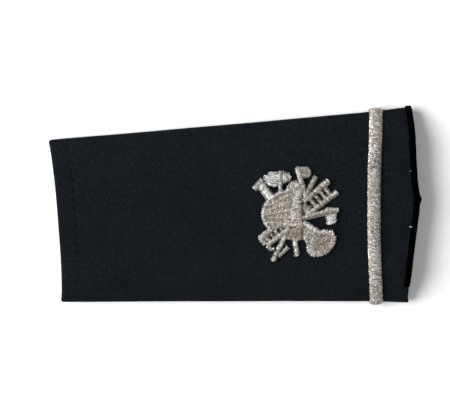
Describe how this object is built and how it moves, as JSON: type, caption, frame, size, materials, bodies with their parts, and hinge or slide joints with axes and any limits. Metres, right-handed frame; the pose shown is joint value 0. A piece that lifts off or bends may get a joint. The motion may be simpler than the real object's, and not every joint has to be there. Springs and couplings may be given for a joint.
{
  "type": "shoulder board",
  "caption": "Slip-on shoulder board: dark navy twill sleeve with a raised silver bar across its wide end and a fire service emblem of helmet, trumpet, ladder and axes in silver thread.",
  "frame": {"origin": "centre of the bounding box on the plane that the back lies on", "axes": "+X along the sleeve from its narrow end to its wide end, +Y across it toward the picture's upper edge, +Z out of the embroidered front"},
  "size_m": [0.097, 0.0545, 0.0079],
  "materials": {
    "cloth": "matte",
    "binding": "matte",
    "bright_thread": "satin",
    "dull_thread": "satin"
  },
  "bodies": {
    "root": {"sleeve": "cloth", "end_binding": "binding", "rank_bar": "bright_thread", "helmet_crest": "bright_thread", "helmet_rim": "bright_thread", "helmet_crown": "dull_thread", "helmet_brim": "dull_thread", "trumpet_mouthpiece": "bright_thread", "trumpet_tube": "bright_thread", "trumpet_neck": "bright_thread", "trumpet_rim": "bright_thread", "trumpet_mouth": "dull_thread", "axe_left": "bright_thread", "axe_left_foot": "bright_thread", "axe_top": "dull_thread", "axe_right": "bright_thread", "pole_tip": "dull_thread", "pole_foot": "bright_thread", "ladder_top": "dull_thread", "ladder_foot": "dull_thread"}
  },
  "joints": []
}
